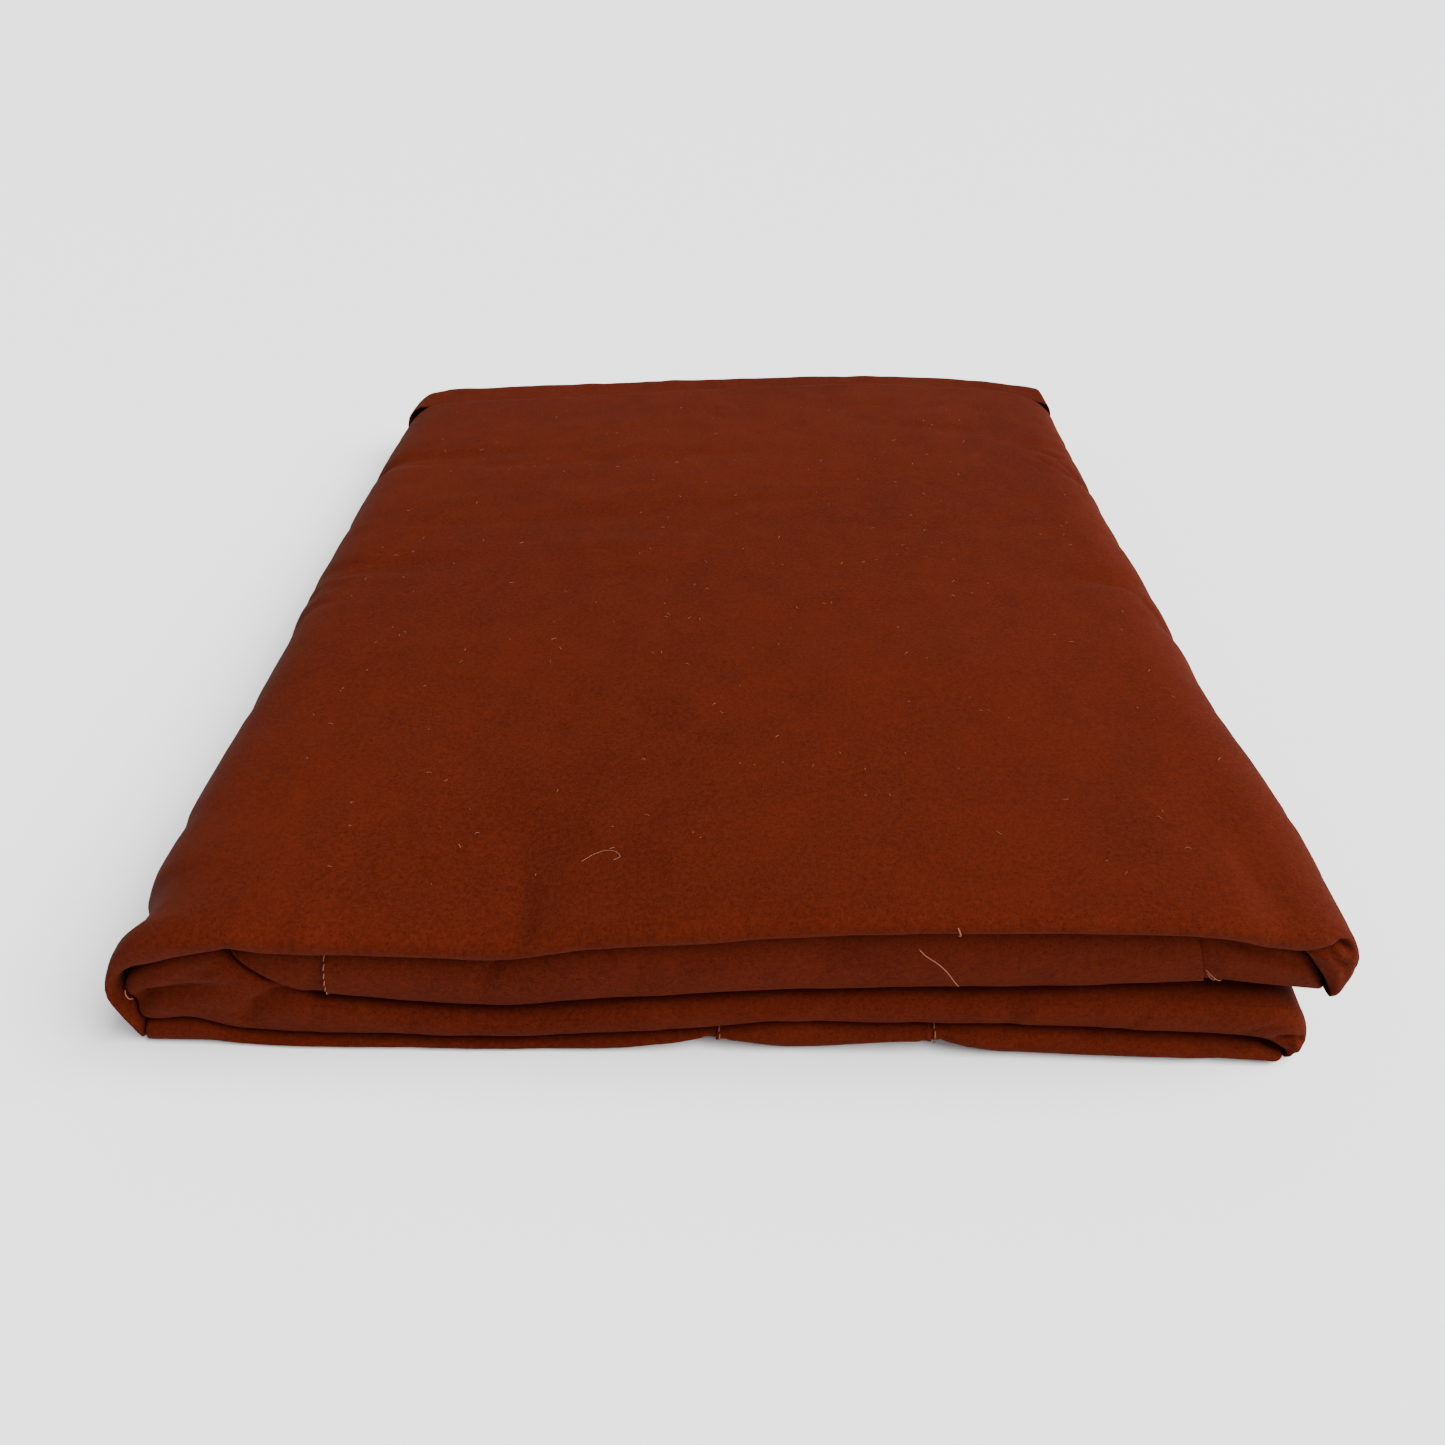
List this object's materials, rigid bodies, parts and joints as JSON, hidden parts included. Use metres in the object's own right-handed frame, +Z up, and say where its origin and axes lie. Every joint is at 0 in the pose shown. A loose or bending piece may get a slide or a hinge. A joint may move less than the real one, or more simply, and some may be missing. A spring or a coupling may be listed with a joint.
{
  "type": "folded buddhist monk robe",
  "caption": "Brick-brown cotton patchwork robe, folded flat into a soft square pack that lies on a surface, with rounded folds on its front.",
  "frame": {"origin": "centre of the pack's outline, on the surface that it lies on", "axes": "+Z up, -Y towards the front with the four rounded folds, +X to the right, where the folds turn"},
  "size_m": [0.3979, 0.5055, 0.065],
  "materials": {
    "robe_cloth": "matte brushed plain-weave cotton, brick brown",
    "hidden_cloth": "matte cotton layers, darker where they lie in shade"
  },
  "bodies": {
    "root": {"hidden_layers": "hidden_cloth", "top_panel": "robe_cloth", "second_fold_left": "robe_cloth", "second_fold_middle": "robe_cloth", "second_fold_right": "robe_cloth", "third_fold": "robe_cloth", "bottom_fold_left": "robe_cloth", "bottom_fold_strip": "robe_cloth", "bottom_fold_right": "robe_cloth", "back_layer": "robe_cloth"}
  },
  "joints": []
}
